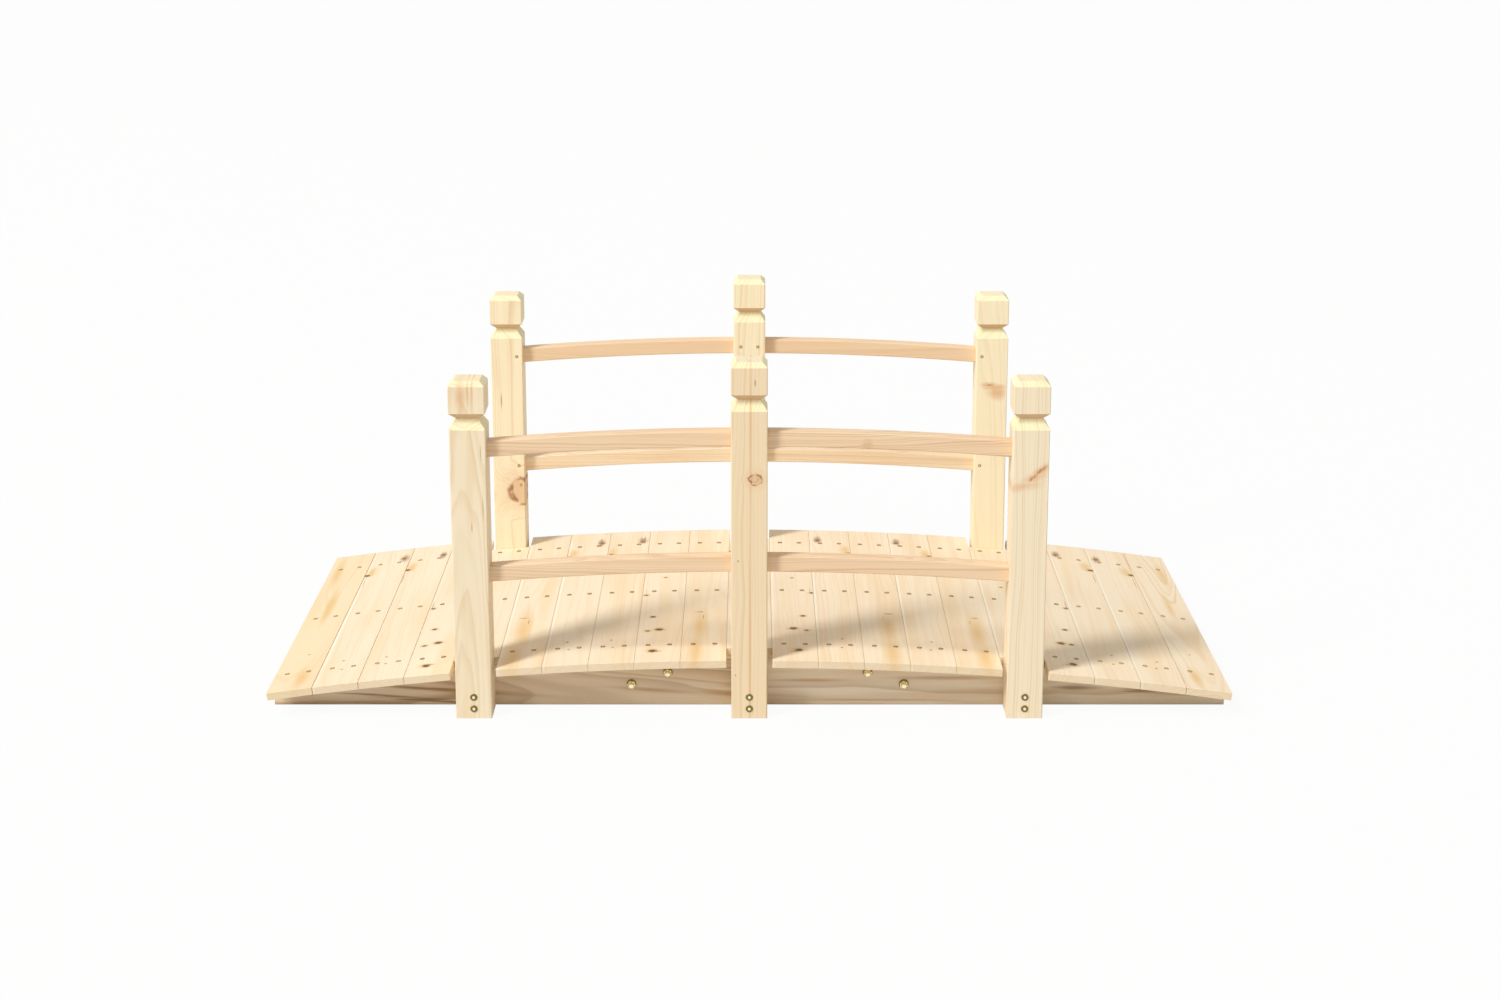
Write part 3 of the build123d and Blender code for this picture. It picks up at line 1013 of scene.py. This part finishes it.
# %% Splice bolt places
# The outer pair sits low and the inner pair high, under the arch.
SPLICE_BOLTS_MM = ((-215, 35.5), (-157.5, 55.0), (157.5, 55.0), (215, 35.5))
for row in ("front", "middle", "back"):
    splice = f"{row}_splice_board"
    stringer = f"{row}_stringer_left"
    nut_side = -1 if face_y(splice, -1) > face_y(stringer, -1) else 1
    nut_spots = []
    head_spots = []
    for along_mm, height in SPLICE_BOLTS_MM:
        x = middle_of(splice).x + along_mm * MM
        nut = (x, face_y(stringer, nut_side), height * MM)
        head = (x, face_y(splice, -nut_side), height * MM)
        nut_spots.append(facing(nut, (0, nut_side, 0), chance.uniform(0, math.pi)))
        head_spots.append(facing(head, (0, -nut_side, 0)))
    set_out(f"cap_nut_washers_{row}", "wide_washer", nut_spots, "olive")
    set_out(f"cap_nut_hexagons_{row}", "cap_hexagon", nut_spots, "bright")
    set_out(f"cap_nut_domes_{row}", "cap_dome", nut_spots, "bright")
    set_out(f"splice_bolt_heads_{row}", "round_head", head_spots, "bright")

# %% [markdown]
# ## Floor and world
# The bridge stands on a plain pale floor under an even sky, as on a studio sweep. More light would whiten
# the background but bleach the wood, so camera, glossy and transmission rays see a white world and a
# mostly self-lit floor, while the light that reaches the wood stays at a plain level.


# %% Who sees the white
def seen_directly(tree):
    """1 for rays from the camera, or by way of metal or glass, and 0 for light on its way to matt wood."""
    path = add(tree, "ShaderNodeLightPath")
    through = add(
        tree, MATH, LARGER, {0: path.outputs["Is Glossy Ray"], 1: path.outputs["Is Transmission Ray"]}
    )
    return add(tree, MATH, LARGER, {0: path.outputs["Is Camera Ray"], 1: through})


# %% Pale floor
FLOOR_SPAN_M = 60
FLOOR_DROP_MM = 0.3
floor_mesh = bpy.data.meshes.new("floor")
half = FLOOR_SPAN_M / 2
corners = [(-half, -half, 0), (half, -half, 0), (half, half, 0), (-half, half, 0)]
floor_mesh.from_pydata(corners, [], [(0, 1, 2, 3)])
floor = new_object("floor", floor_mesh)
floor.location.z = -FLOOR_DROP_MM * MM
print("floor", FLOOR_SPAN_M, "m square")

# %% Floor paint
# Matt white paint: it takes a soft shadow and shows no reflection.
FLOOR_WHITE_SHARE = 0.94
floor_paint, tree, shader = new_material(
    "matt_white_studio_floor",
    {"Base Color": linear("#e6e4df"), "Roughness": 0.9, "Specular IOR Level": 0.0},
)
floor_mesh.materials.append(floor_paint)
glow = add(tree, "ShaderNodeEmission", {"Strength": 1.0})
white_share = add(tree, MATH, {**TIMES, 1: FLOOR_WHITE_SHARE}, {0: seen_directly(tree)})
sweep = add(tree, "ShaderNodeMixShader", {}, {0: white_share, 1: shader, 2: glow})
tree.links.new(sweep.outputs[0], tree.nodes["Material Output"].inputs["Surface"])
print("floor paint", floor_paint.name)

# %% Even sky
SKY_LIGHT = 0.505
world = bpy.data.worlds.new("white_studio")
world.use_nodes = True
bpy.context.scene.world = world
tree = world.node_tree
sky = tree.nodes["Background"]
sky.inputs["Color"].default_value = linear("#ffffff")
strength = add(tree, MAP_RANGE, {"To Min": SKY_LIGHT, "To Max": 1.0}, {"Value": seen_directly(tree)})
tree.links.new(strength.outputs[0], sky.inputs["Strength"])
print("sky light", SKY_LIGHT)

# %% [markdown]
# ## Key light
# A tall strip of light stands high on the left and a little in front. A sun lamp would throw every shadow
# equally crisp. A narrow, tall strip throws a crisp one behind an upright post and a smeared one behind a
# level rail, as we see on the deck. It stands far off, so both ends of the bridge are lit alike.

# %% Tall strip lamp
KEY_DIRECTION = Vector((-0.75, -0.575, 1.0)).normalized()
KEY_DISTANCE_M = 50
KEY_WIDE_DEGREES = 9.5
KEY_TALL_DEGREES = 33.6
KEY_STRENGTH = 2.45


def span_at_key(degrees):
    """How long something is, in metres, that looks so many degrees long from the bridge."""
    return 2 * KEY_DISTANCE_M * math.tan(math.radians(degrees / 2))


key = bpy.data.lights.new("tall_strip_lamp", "AREA")
key.shape = "RECTANGLE"
key.size = span_at_key(KEY_WIDE_DEGREES)
key.size_y = span_at_key(KEY_TALL_DEGREES)
# A lamp's power spreads over a dome, so it takes this much to reach the bridge at the wanted strength.
key.energy = KEY_STRENGTH * math.pi * KEY_DISTANCE_M**2
key_lamp = new_object("tall_strip_lamp", key)
key_lamp.location = KEY_DIRECTION * KEY_DISTANCE_M
key_lamp.rotation_euler = KEY_DIRECTION.to_track_quat("Z", "Y").to_euler()
print("key light stands", round(math.degrees(math.asin(KEY_DIRECTION.z))), "degrees high")

# %% [markdown]
# ## Camera
# The view is square to the long side, from a standing eye a few paces away. A lens shift alone would keep
# the posts upright but push the bridge out of other views, so most of the downward look is a tilt.

# %% Camera
SENSOR_MM = 36.0
LENS_MM = 58.47
LENS_SHIFT = -0.12
CAMERA_PLACE_M = (0.0011, -3.906, 1.441)
LOOK_DOWN_DEGREES = 12.69
camera_data = bpy.data.cameras.new("front_view")
camera_data.sensor_width = SENSOR_MM
camera_data.lens = LENS_MM
camera_data.shift_y = LENS_SHIFT
camera = new_object("front_view", camera_data)
camera.location = CAMERA_PLACE_M
camera.rotation_euler = (math.radians(90 - LOOK_DOWN_DEGREES), 0, 0)
bpy.context.scene.camera = camera
bpy.context.scene.view_settings.view_transform = "Standard"
print("camera", LENS_MM, "mm lens,", round(camera.location.length, 2), "m from the bridge")
